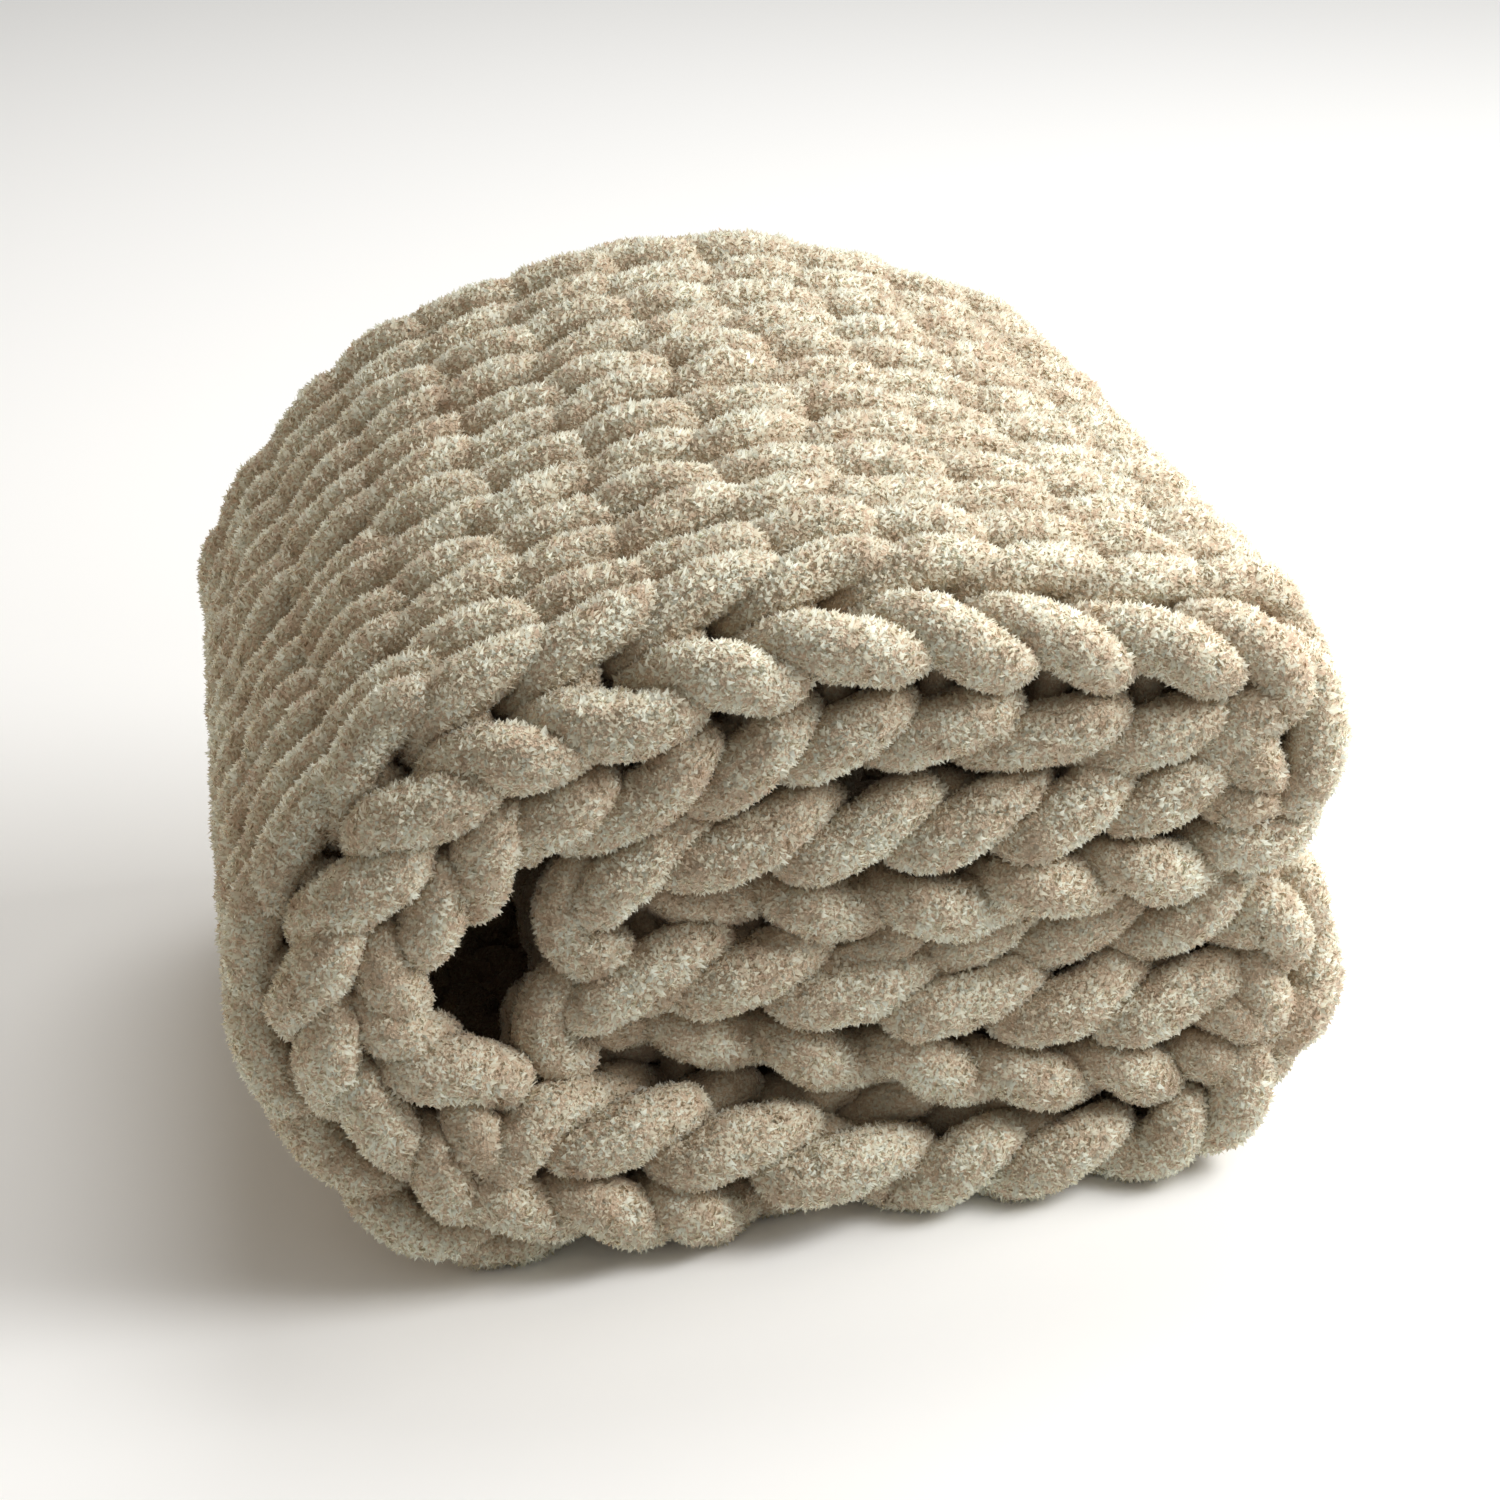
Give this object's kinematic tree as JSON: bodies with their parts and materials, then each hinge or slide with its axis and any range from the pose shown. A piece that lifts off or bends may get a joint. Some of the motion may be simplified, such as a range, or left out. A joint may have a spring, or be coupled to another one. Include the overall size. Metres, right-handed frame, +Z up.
{
  "type": "folded chunky knit blanket",
  "caption": "Chunky knit blanket of thick plush yarn, folded back and forth and wrapped once round itself into a soft loaf that rests on a seat, shelf or bed.",
  "frame": {"origin": "middle of the underside of the folded blanket's bounding box, on the surface it lies on", "axes": "+Z up, folds run along Y, the near edge with the open folds faces -Y, the closed wrapped side faces -X"},
  "size_m": [0.4168, 0.325, 0.2952],
  "materials": {
    "beige_chenille": "plush matt pile of polyester chenille yarn"
  },
  "bodies": {
    "root": {"knit_blanket": "beige_chenille"}
  },
  "joints": []
}
